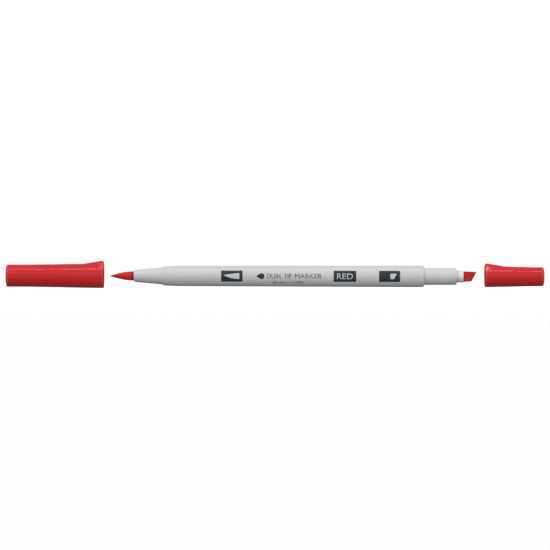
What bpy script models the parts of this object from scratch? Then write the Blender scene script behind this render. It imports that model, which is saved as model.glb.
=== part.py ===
"""Twin-tip marker: a brush nib at one end, a chisel nib at the other, and a push-on cap for each.

The pen lies along X with its brush end at -X, and both caps are off, in line with it.
The caps' roll-stop lugs point up (+Z). The origin is at the bottom centre of the whole layout.
"""

import math

import bmesh
import bpy

MM = 0.001

# The caps' flat facets, and the sides that stand for a full turn of a round piece.
# One side of each piece faces straight down, so that the pen lies on a flat.
FACETS = 12
SEGMENTS = 3 * FACETS
HALF_STEP = math.pi / SEGMENTS
SHARP_ANGLE = math.radians(20)

# Clearances
PRESS_GAP = 0.10 * MM
SLIDE_GAP = 0.15 * MM
SEAT_GAP = 0.15 * MM

# Barrel
BARREL_LENGTH = 110.4 * MM
BARREL_FRONT_RADIUS = 4.50 * MM
BARREL_REAR_RADIUS = 4.725 * MM
BARREL_WALL = 1.15 * MM
SOCKET_WALL = 0.70 * MM
FRONT_EDGE = 0.10 * MM
REAR_ROUND_LENGTH = 1.7 * MM
REAR_ROUND_DEPTH = 0.5 * MM

# Nose cone at the brush end
CONE_LENGTH = 12.5 * MM
SHOULDER_LENGTH = 0.75 * MM
SHOULDER_STEP = 0.5 * MM
RIDGE_ZONE = 4.65 * MM
RIDGE_COUNT = 4
RIDGE_HEIGHT = 0.08 * MM
RIDGE_SHAPE = ((0.0, 0.0), (0.3, 0.0), (0.5, 1.0), (0.8, 1.0))
SHOULDER_INSET = 0.25 * MM
RIDGE_INSET = 0.08 * MM
NOSE_LIP = 0.30 * MM
NOSE_EDGE = 0.12 * MM
NOSE_PLUG_DEPTH = 9.0 * MM
NOSE_WEB_LENGTH = 5.0 * MM
PLUG_CHAMFER = 0.4 * MM

# Brush nib and its holder
BRUSH_LENGTH = 10.6 * MM
BRUSH_RADIUS = 2.025 * MM
BRUSH_TIP_RADIUS = 0.06 * MM
BRUSH_TAPER_POWER = 0.95
BRUSH_SHANK_RADIUS = 1.5 * MM
BRUSH_RIM = 0.225 * MM
BRUSH_HOLDER_LENGTH = 8.0 * MM
BRUSH_HOLDER_STAND = 0.2 * MM

# Collar at the chisel end
COLLAR_LENGTH = 14.5 * MM
COLLAR_INSET = 1.025 * MM
COLLAR_WALL = 1.0 * MM
COLLAR_PLUG_DEPTH = 12.0 * MM
COLLAR_END_LENGTH = 0.8 * MM
COLLAR_END_DEPTH = 0.35 * MM
BEAD_START = 1.0 * MM
BEAD_PEAK = 2.1 * MM
BEAD_END = 3.1 * MM
BEAD_HEIGHT = 0.125 * MM

# Chisel nib and its holder
CHISEL_LENGTH = 5.6 * MM
CHISEL_SHORT_SIDE = 3.5 * MM
CHISEL_TIP_INSET = 0.2 * MM
CHISEL_THICKNESS = 3.0 * MM
CHISEL_TIP_THICKNESS = 2.4 * MM
CHISEL_INSET = 0.3 * MM
CHISEL_CORNER_POWER = 9
CHISEL_SHANK_INSET = 0.1 * MM
CHISEL_HOLDER_STAND = 3.0 * MM
CHISEL_HOLDER_SEAT = 10.0 * MM
HOLDER_EDGE = 0.12 * MM

# Ink reservoir
WRAP_THICKNESS = 0.15 * MM
FEED_DEPTH = 4.0 * MM
PLUG_HOLLOW_WALL = 0.8 * MM

# Caps
BRUSH_TIP_SPACE = 2.9 * MM
BRUSH_CAP_OVERLAP = 10.0 * MM
BRUSH_CAP_END_WALL = 1.0 * MM
BRUSH_MOUTH_WALL = 0.73 * MM
BRUSH_TAIL_WALL = 0.70 * MM
BRUSH_TAIL_STRAIGHT = 9.8 * MM
BRUSH_PLAIN_LENGTH = 17.4 * MM
BRUSH_LUG_LENGTH = 9.2 * MM
BRUSH_LUG_RISE = 1.3 * MM
BRUSH_LUG_RADIUS = 3.6 * MM
BRUSH_SEAL_LIFT = 0.8 * MM
BRUSH_LINER_WALL = 0.6 * MM
CHISEL_TIP_SPACE = 1.65 * MM
CHISEL_CAP_END_WALL = 1.0 * MM
CHISEL_MOUTH_WALL = 0.70 * MM
CHISEL_TAIL_WALL = 0.60 * MM
CHISEL_TAIL_STRAIGHT = 3.0 * MM
CHISEL_PLAIN_LENGTH = 10.5 * MM
CHISEL_LUG_LENGTH = 9.1 * MM
CHISEL_LUG_RISE = 1.2 * MM
CHISEL_LUG_RADIUS = 3.15 * MM
CHISEL_LINER_GAP = 0.2 * MM
CHISEL_LINER_WALL = 0.45 * MM
FACET_FADE = 2.2 * MM
MOUTH_EDGE = 0.45 * MM
END_EDGE = 0.65 * MM
END_DOME = 0.25 * MM
END_FLAT_RADIUS = 2.4 * MM
LUG_PEAK = 1.1 * MM
LUG_DROP = 0.35 * MM
LUG_RINGS = 5
STOP_GAP = 0.3 * MM

# Spaces between the pen's tips and the caps that lie in line with it
BRUSH_SIDE_SPACE = 2.6 * MM
CHISEL_SIDE_SPACE = 3.7 * MM

# Radii that follow from the sizes above
RESERVOIR_BORE = BARREL_FRONT_RADIUS - BARREL_WALL
FRONT_SOCKET_RADIUS = BARREL_FRONT_RADIUS - SOCKET_WALL
NOSE_PLUG_RADIUS = FRONT_SOCKET_RADIUS - PRESS_GAP
BRUSH_HOLDER_RADIUS = BRUSH_RADIUS + BRUSH_RIM
NOSE_TIP_RADIUS = BRUSH_HOLDER_RADIUS + PRESS_GAP + NOSE_LIP
SHOULDER_RADIUS = BARREL_FRONT_RADIUS - SHOULDER_INSET
RIDGE_RADIUS = BARREL_FRONT_RADIUS - RIDGE_INSET
CONE_RADIUS = SHOULDER_RADIUS - SHOULDER_STEP
COLLAR_RADIUS = BARREL_REAR_RADIUS - COLLAR_INSET
CHISEL_HOLDER_RADIUS = COLLAR_RADIUS - COLLAR_WALL - PRESS_GAP
CHISEL_SHANK_RADIUS = CHISEL_THICKNESS / 2 - CHISEL_SHANK_INSET
CHISEL_HEIGHT = 2 * (CHISEL_HOLDER_RADIUS - CHISEL_INSET)

# Lengths that follow from the sizes above
NOSE_LENGTH = CONE_LENGTH + SHOULDER_LENGTH + RIDGE_ZONE
BRUSH_REACH = NOSE_LENGTH + BRUSH_HOLDER_STAND + PRESS_GAP + BRUSH_LENGTH
CHISEL_REACH = COLLAR_LENGTH + CHISEL_HOLDER_STAND + PRESS_GAP + CHISEL_LENGTH
BRUSH_END_THICKNESS = BRUSH_LINER_WALL + PRESS_GAP + BRUSH_CAP_END_WALL
CHISEL_END_THICKNESS = CHISEL_LINER_WALL + PRESS_GAP + CHISEL_CAP_END_WALL
BRUSH_CAP_INSIDE = BRUSH_CAP_OVERLAP + PRESS_GAP + BRUSH_REACH + BRUSH_TIP_SPACE
BRUSH_CAP_LENGTH = BRUSH_CAP_INSIDE + BRUSH_END_THICKNESS
CHISEL_CAP_LENGTH = CHISEL_REACH + CHISEL_TIP_SPACE + CHISEL_END_THICKNESS
RESERVOIR_START = NOSE_PLUG_DEPTH + 2 * SEAT_GAP
RESERVOIR_END = BARREL_LENGTH - COLLAR_PLUG_DEPTH - 2 * SEAT_GAP

# Where each piece starts along the pen, from the closed end of the brush cap
BRUSH_MOUTH_X = BRUSH_CAP_LENGTH
BRUSH_TIP_X = BRUSH_MOUTH_X + BRUSH_SIDE_SPACE
BRUSH_HOLDER_X = BRUSH_TIP_X + BRUSH_LENGTH + PRESS_GAP
NOSE_X = BRUSH_HOLDER_X + BRUSH_HOLDER_STAND
BARREL_X = NOSE_X + NOSE_LENGTH + PRESS_GAP
COLLAR_X = BARREL_X + BARREL_LENGTH
CHISEL_HOLDER_X = COLLAR_X + COLLAR_LENGTH
CHISEL_X = CHISEL_HOLDER_X + CHISEL_HOLDER_STAND + PRESS_GAP
CHISEL_MOUTH_X = CHISEL_X + CHISEL_LENGTH + CHISEL_SIDE_SPACE
TOTAL_LENGTH = CHISEL_MOUTH_X + CHISEL_CAP_LENGTH

# Colours (linear) and finishes
RED_PLASTIC = (0.56, 0.022, 0.036)
GREY_PLASTIC = (0.50, 0.51, 0.52)
PALE_PLASTIC = (0.72, 0.68, 0.67)
STAINED_FELT = (0.55, 0.030, 0.018)
WHITE_FILM = (0.80, 0.80, 0.80)


def clear_scene():
    for obj in list(bpy.data.objects):
        bpy.data.objects.remove(obj, do_unlink=True)


def new_collection(name):
    collection = bpy.data.collections.new(name)
    bpy.context.scene.collection.children.link(collection)
    return collection


def new_material(name, colour, roughness):
    material = bpy.data.materials.new(name)
    material.use_nodes = True
    shader = material.node_tree.nodes["Principled BSDF"]
    shader.inputs["Base Color"].default_value = (*colour, 1.0)
    shader.inputs["Roughness"].default_value = roughness
    shader.inputs["Metallic"].default_value = 0.0
    return material


def place(obj, collection, along, colour, roughness):
    """Puts an object whose own Z is the pen's axis at its distance from the layout's left end."""
    collection.objects.link(obj)
    obj.location = (along - TOTAL_LENGTH / 2, 0.0, axis_height())
    obj.rotation_euler = (0.0, math.pi / 2, 0.0)
    obj.data.materials.append(new_material(obj.name + "_material", colour, roughness))
    return obj


def shade(mesh):
    mesh.shade_smooth()
    mesh.set_sharp_from_angle(angle=SHARP_ANGLE)


def turned(name, outline):
    """A turned piece. The outline is (along, radius) points, down its outer side and back up its inside."""
    mesh = bpy.data.meshes.new(name)
    across, aside = math.cos(HALF_STEP), math.sin(HALF_STEP)
    points = [(radius * across, radius * aside, along) for along, radius in outline]
    edges = [(i, i + 1) for i in range(len(points) - 1)]
    if outline[0][1] > 0:
        edges.append((len(points) - 1, 0))
    mesh.from_pydata(points, edges, [])
    obj = bpy.data.objects.new(name, mesh)
    screw = obj.modifiers.new("turn", "SCREW")
    screw.axis = "Z"
    screw.steps = SEGMENTS
    screw.render_steps = SEGMENTS
    screw.use_merge_vertices = True
    screw.merge_threshold = 1e-6
    bpy.context.scene.collection.objects.link(obj)
    graph = bpy.context.evaluated_depsgraph_get()
    obj.data = bpy.data.meshes.new_from_object(obj.evaluated_get(graph))
    obj.modifiers.clear()
    bpy.context.scene.collection.objects.unlink(obj)
    bpy.data.meshes.remove(mesh)
    obj.data.name = name
    shade(obj.data)
    return obj


def lofted(name, rings):
    """A closed skin through rings of points that match one to one, with a flat face at each end."""
    build = bmesh.new()
    loops = [[build.verts.new(point) for point in ring] for ring in rings]
    build.faces.new(loops[0])
    build.faces.new(loops[-1])
    for lower, upper in zip(loops, loops[1:]):
        for i in range(len(lower)):
            j = (i + 1) % len(lower)
            build.faces.new((lower[i], lower[j], upper[j], upper[i]))
    bmesh.ops.recalc_face_normals(build, faces=build.faces)
    mesh = bpy.data.meshes.new(name)
    build.to_mesh(mesh)
    build.free()
    shade(mesh)
    return bpy.data.objects.new(name, mesh)


def lerp(low, high, share):
    return low + (high - low) * share


def quarter(count):
    """Angles from 0 to 90 degrees, both included."""
    return [math.pi / 2 * i / count for i in range(count + 1)]


def axis_height():
    """The height of the pen's axis. The lowest side of the widest piece rests on the ground."""
    caps = (brush_cap_sizes(), chisel_cap_sizes())
    widest = [cap_radius(sizes, MOUTH_EDGE) for sizes in caps]
    widest += [sizes["end_radius"] for sizes in caps]
    return max(widest + [BARREL_FRONT_RADIUS, BARREL_REAR_RADIUS]) * math.cos(HALF_STEP)


def barrel_radius(along):
    return lerp(BARREL_FRONT_RADIUS, BARREL_REAR_RADIUS, along / BARREL_LENGTH)


def make_barrel():
    round_start = BARREL_LENGTH - REAR_ROUND_LENGTH
    rear = [
        (
            round_start + REAR_ROUND_LENGTH * math.sin(angle),
            barrel_radius(round_start) - REAR_ROUND_DEPTH * (1 - math.cos(angle)),
        )
        for angle in reversed(quarter(4))
    ]
    socket_end = BARREL_LENGTH - COLLAR_PLUG_DEPTH - SEAT_GAP
    collar_socket = COLLAR_RADIUS + PRESS_GAP
    outline = rear + [
        (FRONT_EDGE, BARREL_FRONT_RADIUS),
        (0.0, BARREL_FRONT_RADIUS - FRONT_EDGE),
        (0.0, FRONT_SOCKET_RADIUS),
        (NOSE_PLUG_DEPTH + SEAT_GAP, FRONT_SOCKET_RADIUS),
        (NOSE_PLUG_DEPTH + SEAT_GAP, RESERVOIR_BORE),
        (socket_end, RESERVOIR_BORE),
        (socket_end, collar_socket),
        (BARREL_LENGTH, collar_socket),
    ]
    return turned("barrel", outline)


def ridge_points():
    """The ridged band behind the nose's shoulder. A ridge's shape is in shares of its pitch and height."""
    start = CONE_LENGTH + SHOULDER_LENGTH
    pitch = RIDGE_ZONE / RIDGE_COUNT
    points = []
    for i in range(RIDGE_COUNT):
        for share, rise in RIDGE_SHAPE:
            along = start + pitch * (i + share)
            base = lerp(SHOULDER_RADIUS, RIDGE_RADIUS - RIDGE_HEIGHT, (i + share) / RIDGE_COUNT)
            points.append((along, base + RIDGE_HEIGHT * rise))
    points.append((start + RIDGE_ZONE, RIDGE_RADIUS - RIDGE_HEIGHT))
    return points


def nose_radius(along):
    return lerp(NOSE_TIP_RADIUS, CONE_RADIUS, along / CONE_LENGTH)


def make_brush_nose():
    plug_end = NOSE_LENGTH + PRESS_GAP + NOSE_PLUG_DEPTH
    shelf = BRUSH_HOLDER_LENGTH - BRUSH_HOLDER_STAND + PRESS_GAP
    outline = [
        (plug_end, NOSE_PLUG_RADIUS - PLUG_CHAMFER),
        (plug_end - PLUG_CHAMFER, NOSE_PLUG_RADIUS),
        (NOSE_LENGTH, NOSE_PLUG_RADIUS),
        *reversed(ridge_points()),
        (CONE_LENGTH, CONE_RADIUS),
        (NOSE_EDGE, nose_radius(NOSE_EDGE)),
        (0.0, NOSE_TIP_RADIUS - NOSE_EDGE),
        (0.0, BRUSH_HOLDER_RADIUS + PRESS_GAP),
        (shelf, BRUSH_HOLDER_RADIUS + PRESS_GAP),
        (shelf, BRUSH_SHANK_RADIUS + PRESS_GAP),
        (shelf + NOSE_WEB_LENGTH, BRUSH_SHANK_RADIUS + PRESS_GAP),
        (shelf + NOSE_WEB_LENGTH, NOSE_PLUG_RADIUS - PLUG_CHAMFER - PLUG_HOLLOW_WALL),
        (plug_end, NOSE_PLUG_RADIUS - PLUG_CHAMFER - PLUG_HOLLOW_WALL),
    ]
    return turned("brush_nose", outline)


def make_brush_nib_holder():
    outline = [
        (BRUSH_HOLDER_LENGTH, BRUSH_HOLDER_RADIUS),
        (HOLDER_EDGE, BRUSH_HOLDER_RADIUS),
        (0.0, BRUSH_HOLDER_RADIUS - HOLDER_EDGE),
        (0.0, BRUSH_SHANK_RADIUS + PRESS_GAP),
        (BRUSH_HOLDER_LENGTH, BRUSH_SHANK_RADIUS + PRESS_GAP),
    ]
    return turned("brush_nib_holder", outline)


def brush_radius(share):
    """The nib's radius at a share of its exposed length from the tip."""
    return BRUSH_RADIUS * math.sin(math.pi / 2 * share**BRUSH_TAPER_POWER)


def make_brush_nib():
    feed_end = BARREL_X + RESERVOIR_START + FEED_DEPTH - BRUSH_TIP_X
    shares = [1 - math.sin(angle) for angle in quarter(8)[:-1]]
    outline = [
        (feed_end, 0.0),
        (feed_end, BRUSH_SHANK_RADIUS),
        (BRUSH_LENGTH, BRUSH_SHANK_RADIUS),
        *((BRUSH_LENGTH * share, brush_radius(share)) for share in shares),
        (0.0, BRUSH_TIP_RADIUS),
        (0.0, 0.0),
    ]
    return turned("brush_nib", outline)


def make_chisel_collar():
    hollow = COLLAR_RADIUS - PLUG_CHAMFER - PLUG_HOLLOW_WALL
    shelf = COLLAR_LENGTH - CHISEL_HOLDER_SEAT - PRESS_GAP
    outline = [
        (COLLAR_LENGTH, COLLAR_RADIUS - COLLAR_END_DEPTH),
        (COLLAR_LENGTH - COLLAR_END_LENGTH, COLLAR_RADIUS),
        (BEAD_END, COLLAR_RADIUS),
        (BEAD_PEAK, COLLAR_RADIUS + BEAD_HEIGHT),
        (BEAD_START, COLLAR_RADIUS),
        (PLUG_CHAMFER - COLLAR_PLUG_DEPTH, COLLAR_RADIUS),
        (-COLLAR_PLUG_DEPTH, COLLAR_RADIUS - PLUG_CHAMFER),
        (-COLLAR_PLUG_DEPTH, hollow),
        (0.0, hollow),
        (0.0, CHISEL_SHANK_RADIUS + PRESS_GAP),
        (shelf, CHISEL_SHANK_RADIUS + PRESS_GAP),
        (shelf, CHISEL_HOLDER_RADIUS + PRESS_GAP),
        (COLLAR_LENGTH, CHISEL_HOLDER_RADIUS + PRESS_GAP),
    ]
    return turned("chisel_collar", outline)


def make_chisel_nib_holder():
    bore = CHISEL_SHANK_RADIUS + PRESS_GAP
    outline = [
        (CHISEL_HOLDER_STAND, CHISEL_HOLDER_RADIUS - HOLDER_EDGE),
        (CHISEL_HOLDER_STAND - HOLDER_EDGE, CHISEL_HOLDER_RADIUS),
        (-CHISEL_HOLDER_SEAT, CHISEL_HOLDER_RADIUS),
        (-CHISEL_HOLDER_SEAT, bore),
        (CHISEL_HOLDER_STAND, bore),
    ]
    return turned("chisel_nib_holder", outline)


def ring_angles():
    """The corners between the sides of a turned piece, and those between a cap's facets."""
    sides = [math.pi * (2 * i + 1) / SEGMENTS for i in range(SEGMENTS)]
    facets = [math.pi * (2 * i + 1) / FACETS for i in range(FACETS)]
    return sorted(sides + facets)


def circle_ring(along, radius):
    return [(radius * math.cos(a), radius * math.sin(a), along) for a in ring_angles()]


def chisel_ring(length_top, length_bottom, height, thickness):
    """A rounded rectangle across the pen. Its own -X is the pen's top, the side with the longer edge."""
    power = CHISEL_CORNER_POWER
    ring = []
    for angle in ring_angles():
        across = abs(math.cos(angle) / (height / 2)) ** power
        aside = abs(math.sin(angle) / (thickness / 2)) ** power
        radius = (across + aside) ** (-1 / power)
        down = radius * math.cos(angle)
        along = lerp(length_top, length_bottom, 0.5 + down / height)
        ring.append((down, radius * math.sin(angle), along))
    return ring


def make_chisel_nib():
    feed_end = COLLAR_X - COLLAR_PLUG_DEPTH - 2 * SEAT_GAP - FEED_DEPTH - CHISEL_X
    tip_height = CHISEL_HEIGHT - 2 * CHISEL_TIP_INSET
    rings = [
        circle_ring(feed_end, CHISEL_SHANK_RADIUS),
        circle_ring(0.0, CHISEL_SHANK_RADIUS),
        chisel_ring(0.0, 0.0, CHISEL_HEIGHT, CHISEL_THICKNESS),
        chisel_ring(CHISEL_LENGTH, CHISEL_SHORT_SIDE, tip_height, CHISEL_TIP_THICKNESS),
    ]
    return lofted("chisel_nib", rings)


def make_ink_reservoir():
    length = RESERVOIR_END - RESERVOIR_START
    radius = RESERVOIR_BORE - PRESS_GAP - WRAP_THICKNESS - PRESS_GAP
    chisel_hole = CHISEL_SHANK_RADIUS + PRESS_GAP
    brush_hole = BRUSH_SHANK_RADIUS + PRESS_GAP
    hole_depth = FEED_DEPTH + SEAT_GAP
    outline = [
        (length - hole_depth, 0.0),
        (length - hole_depth, chisel_hole),
        (length, chisel_hole),
        (length, radius),
        (0.0, radius),
        (0.0, brush_hole),
        (hole_depth, brush_hole),
        (hole_depth, 0.0),
    ]
    return turned("ink_reservoir", outline)


def make_reservoir_wrap():
    length = RESERVOIR_END - RESERVOIR_START
    radius = RESERVOIR_BORE - PRESS_GAP
    outline = [
        (length, radius),
        (0.0, radius),
        (0.0, radius - WRAP_THICKNESS),
        (length, radius - WRAP_THICKNESS),
    ]
    return turned("reservoir_wrap", outline)


def brush_cap_sizes():
    """Sizes of the brush cap. Depths are from its mouth, which passes the barrel's front end."""
    mouth_bore = barrel_radius(BRUSH_CAP_OVERLAP) + SLIDE_GAP
    ridge_bore = RIDGE_RADIUS + SLIDE_GAP
    stop_depth = BRUSH_CAP_OVERLAP + PRESS_GAP + RIDGE_ZONE + STOP_GAP
    seal_radius = NOSE_TIP_RADIUS + BRUSH_SEAL_LIFT
    tip_depth = BRUSH_CAP_OVERLAP + PRESS_GAP + NOSE_LENGTH
    cone_share = (seal_radius - SLIDE_GAP - NOSE_TIP_RADIUS) / (CONE_RADIUS - NOSE_TIP_RADIUS)
    seal_depth = tip_depth - CONE_LENGTH * min(1.0, cone_share) + SEAT_GAP
    liner_radius = seal_radius + BRUSH_LINER_WALL
    return {
        "length": BRUSH_CAP_LENGTH,
        "mouth_radius": mouth_bore + BRUSH_MOUTH_WALL,
        "end_radius": liner_radius + PRESS_GAP + BRUSH_TAIL_WALL,
        "straight": BRUSH_TAIL_STRAIGHT,
        "plain": BRUSH_PLAIN_LENGTH,
        "end_wall": BRUSH_CAP_END_WALL,
        "lug_length": BRUSH_LUG_LENGTH,
        "lug_rise": BRUSH_LUG_RISE,
        "lug_radius": BRUSH_LUG_RADIUS,
        "bore": [(0.0, mouth_bore), (stop_depth, ridge_bore)],
        "liner_bore": liner_radius + PRESS_GAP,
        "liner_start": seal_depth,
        "liner_radius": liner_radius,
        "liner_wall": BRUSH_LINER_WALL,
    }


def chisel_cap_sizes():
    """Sizes of the chisel cap. Depths are from its mouth, which meets the barrel's rear end."""
    mouth_bore = COLLAR_RADIUS + BEAD_HEIGHT + SLIDE_GAP
    collar_bore = COLLAR_RADIUS + SLIDE_GAP
    liner_start = COLLAR_LENGTH + STOP_GAP
    nib_corner = math.hypot(CHISEL_HEIGHT / 2, CHISEL_THICKNESS / 2)
    liner_bore = max(nib_corner, CHISEL_HOLDER_RADIUS) + CHISEL_LINER_GAP
    liner_radius = liner_bore + CHISEL_LINER_WALL
    return {
        "length": CHISEL_CAP_LENGTH,
        "mouth_radius": mouth_bore + CHISEL_MOUTH_WALL,
        "end_radius": liner_radius + PRESS_GAP + CHISEL_TAIL_WALL,
        "straight": CHISEL_TAIL_STRAIGHT,
        "plain": CHISEL_PLAIN_LENGTH,
        "end_wall": CHISEL_CAP_END_WALL,
        "lug_length": CHISEL_LUG_LENGTH,
        "lug_rise": CHISEL_LUG_RISE,
        "lug_radius": CHISEL_LUG_RADIUS,
        "bore": [(0.0, mouth_bore), (liner_start, collar_bore)],
        "liner_bore": liner_radius + PRESS_GAP,
        "liner_start": liner_start + SEAT_GAP,
        "liner_radius": liner_radius,
        "liner_wall": CHISEL_LINER_WALL,
    }


def lug_rise(sizes, depth):
    """How far the lug stands out at a depth: a straight ramp to its peak, then a small drop at the mouth."""
    if depth < LUG_PEAK:
        return sizes["lug_rise"] - LUG_DROP * (1 - depth / LUG_PEAK) ** 2
    ramp = (sizes["lug_length"] - depth) / (sizes["lug_length"] - LUG_PEAK)
    return sizes["lug_rise"] * max(0.0, ramp)


def egg_radius(angle, radius, tip_radius, reach):
    """Distance from the axis to the hull of two circles, whose lug stands out at half a turn."""
    turn = abs(angle - math.pi)
    if reach <= radius - tip_radius:
        return radius
    flank = math.acos((radius - tip_radius) / reach)
    tip_end = math.atan2(tip_radius * math.sin(flank), reach + tip_radius * math.cos(flank))
    if turn < tip_end:
        return reach * math.cos(turn) + math.sqrt(tip_radius**2 - (reach * math.sin(turn)) ** 2)
    if turn < flank:
        return radius / math.cos(turn - flank)
    return radius


def facet_radius(angle, radius):
    """Distance from the axis to a flat-sided section with corners at the radius and a side at angle 0."""
    width = 2 * math.pi / FACETS
    from_middle = (angle + width / 2) % width - width / 2
    return radius * math.cos(width / 2) / math.cos(from_middle)


def cap_radius(sizes, depth):
    """A cap's outer radius without its lug: a taper from the mouth, then straight to the closed end."""
    taper = min(1.0, depth / (sizes["length"] - sizes["straight"]))
    return lerp(sizes["mouth_radius"], sizes["end_radius"], taper)


def cap_ring(sizes, side, depth, inset):
    """One outer section of a cap. Its own -X is the pen's top, where the lug is."""
    radius = cap_radius(sizes, depth)
    reach = radius + lug_rise(sizes, depth) - sizes["lug_radius"]
    facet_share = min(1.0, max(0.0, (depth - sizes["plain"]) / FACET_FADE))
    ring = []
    for angle in ring_angles():
        plain = egg_radius(angle, radius - inset, sizes["lug_radius"] - inset, reach)
        out = lerp(plain, facet_radius(angle, radius - inset), facet_share)
        ring.append((out * math.cos(angle), out * math.sin(angle), side * depth))
    return ring


def make_cap_shell(name, sizes, side):
    """A cap's shell: its own Z runs from the mouth to the closed end, times side."""
    length = sizes["length"]
    rings = [circle_ring(side * length, END_FLAT_RADIUS)]
    for angle in reversed(quarter(3)):
        depth = length - END_DOME - END_EDGE * (1 - math.sin(angle))
        rings.append(cap_ring(sizes, side, depth, END_EDGE * (1 - math.cos(angle))))
    facet_start = sizes["plain"] + FACET_FADE
    steps = [length - sizes["straight"], facet_start, sizes["plain"]]
    steps += [lerp(LUG_PEAK, sizes["lug_length"], i / LUG_RINGS) for i in range(LUG_RINGS + 1)]
    rings += [cap_ring(sizes, side, depth, 0.0) for depth in sorted(steps, reverse=True)]
    for angle in quarter(3):
        depth = MOUTH_EDGE * (1 - math.sin(angle))
        rings.append(cap_ring(sizes, side, depth, MOUTH_EDGE * (1 - math.cos(angle))))
    for depth, radius in sizes["bore"]:
        rings.append(circle_ring(side * depth, radius))
    floor_depth = length - sizes["end_wall"]
    rings.append(circle_ring(side * sizes["bore"][-1][0], sizes["liner_bore"]))
    rings.append(circle_ring(side * floor_depth, sizes["liner_bore"]))
    return lofted(name, rings)


def make_cap_liner(name, sizes, side):
    """The inner cup that seals a cap. Its own Z runs from the mouth to the closed end, times side."""
    start = side * sizes["liner_start"]
    outside = side * (sizes["length"] - sizes["end_wall"] - PRESS_GAP)
    inside = outside - side * sizes["liner_wall"]
    radius = sizes["liner_radius"]
    bore = radius - sizes["liner_wall"]
    outline = [(outside, 0.0), (outside, radius), (start, radius)]
    outline += [(start, bore), (inside, bore), (inside, 0.0)]
    if side < 0:
        outline.reverse()
    return turned(name, outline)


def main():
    clear_scene()
    pen = new_collection("brush_pen")
    brush_cap = brush_cap_sizes()
    chisel_cap = chisel_cap_sizes()
    place(make_barrel(), pen, BARREL_X, GREY_PLASTIC, 0.38)
    place(make_brush_nose(), pen, NOSE_X, GREY_PLASTIC, 0.38)
    place(make_brush_nib_holder(), pen, BRUSH_HOLDER_X, PALE_PLASTIC, 0.45)
    place(make_brush_nib(), pen, BRUSH_TIP_X, STAINED_FELT, 0.7)
    place(make_chisel_collar(), pen, COLLAR_X, GREY_PLASTIC, 0.38)
    place(make_chisel_nib_holder(), pen, CHISEL_HOLDER_X, PALE_PLASTIC, 0.45)
    place(make_chisel_nib(), pen, CHISEL_X, STAINED_FELT, 0.7)
    place(make_ink_reservoir(), pen, BARREL_X + RESERVOIR_START, STAINED_FELT, 0.9)
    place(make_reservoir_wrap(), pen, BARREL_X + RESERVOIR_START, WHITE_FILM, 0.3)
    place(make_cap_shell("brush_cap_shell", brush_cap, -1), pen, BRUSH_MOUTH_X, RED_PLASTIC, 0.3)
    place(make_cap_liner("brush_cap_liner", brush_cap, -1), pen, BRUSH_MOUTH_X, PALE_PLASTIC, 0.4)
    place(make_cap_shell("chisel_cap_shell", chisel_cap, 1), pen, CHISEL_MOUTH_X, RED_PLASTIC, 0.3)
    place(make_cap_liner("chisel_cap_liner", chisel_cap, 1), pen, CHISEL_MOUTH_X, PALE_PLASTIC, 0.4)


main()
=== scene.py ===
"""The looks of a twin-tip marker that lies in line with its two caps, both pulled off.

Every piece is a fine mesh about the pen's axis, which lies along X. A piece's place and length come from
its CAD node, and its radii and edges are named here. Lengths are in metres.
"""

import math

import bmesh
import bpy
from mathutils import Matrix, Vector


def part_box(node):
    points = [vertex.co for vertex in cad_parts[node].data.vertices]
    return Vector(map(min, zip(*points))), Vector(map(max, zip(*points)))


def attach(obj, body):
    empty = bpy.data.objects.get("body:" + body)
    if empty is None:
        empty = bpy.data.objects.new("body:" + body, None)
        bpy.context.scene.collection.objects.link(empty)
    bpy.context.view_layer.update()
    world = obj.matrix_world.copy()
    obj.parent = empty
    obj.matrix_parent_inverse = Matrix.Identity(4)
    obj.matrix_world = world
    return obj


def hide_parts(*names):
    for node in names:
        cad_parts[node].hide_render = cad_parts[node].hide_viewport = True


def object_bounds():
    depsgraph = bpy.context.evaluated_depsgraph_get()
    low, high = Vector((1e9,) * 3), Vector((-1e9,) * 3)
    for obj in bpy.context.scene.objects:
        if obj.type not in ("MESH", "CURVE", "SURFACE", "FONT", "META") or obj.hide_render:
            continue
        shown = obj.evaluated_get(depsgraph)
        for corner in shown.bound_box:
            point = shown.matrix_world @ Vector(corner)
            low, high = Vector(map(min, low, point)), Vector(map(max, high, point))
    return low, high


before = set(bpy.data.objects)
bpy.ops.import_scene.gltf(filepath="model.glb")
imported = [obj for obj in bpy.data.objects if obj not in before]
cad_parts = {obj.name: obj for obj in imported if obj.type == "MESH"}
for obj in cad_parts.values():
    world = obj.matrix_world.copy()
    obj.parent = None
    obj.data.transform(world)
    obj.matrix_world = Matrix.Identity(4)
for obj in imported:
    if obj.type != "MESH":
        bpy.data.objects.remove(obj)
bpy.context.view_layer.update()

MM = 0.001
TURN_STEPS = 144
FILLET_STEPS = 4
SMOOTH_ANGLE = math.radians(35)
RIM_FADE = 0.25 * MM

# Shared by pieces that fit together
PRESS_GAP = 0.10 * MM
SOCKET_RADIUS = 3.80 * MM
PLUG_RADIUS = 3.70 * MM
PLUG_CHAMFER = 0.40 * MM
HOLLOW_RADIUS = 2.50 * MM
FINE_EDGE = 0.06 * MM

# Barrel
BARREL_FRONT_RADIUS = 4.50 * MM
BARREL_REAR_RADIUS = 4.725 * MM
BARREL_EDGE = 0.10 * MM
RESERVOIR_BORE = 3.35 * MM
FRONT_SOCKET_DEPTH = 9.15 * MM
REAR_SOCKET_DEPTH = 12.15 * MM
REAR_ROUND_LENGTH = 1.7 * MM
REAR_ROUND_DEPTH = 0.42 * MM
REAR_ROUND_STEPS = 8
REAR_RING_PLACE = 2.5 * MM
GROOVE_WIDTH = 0.30 * MM
GROOVE_DEPTH = 0.08 * MM

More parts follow.
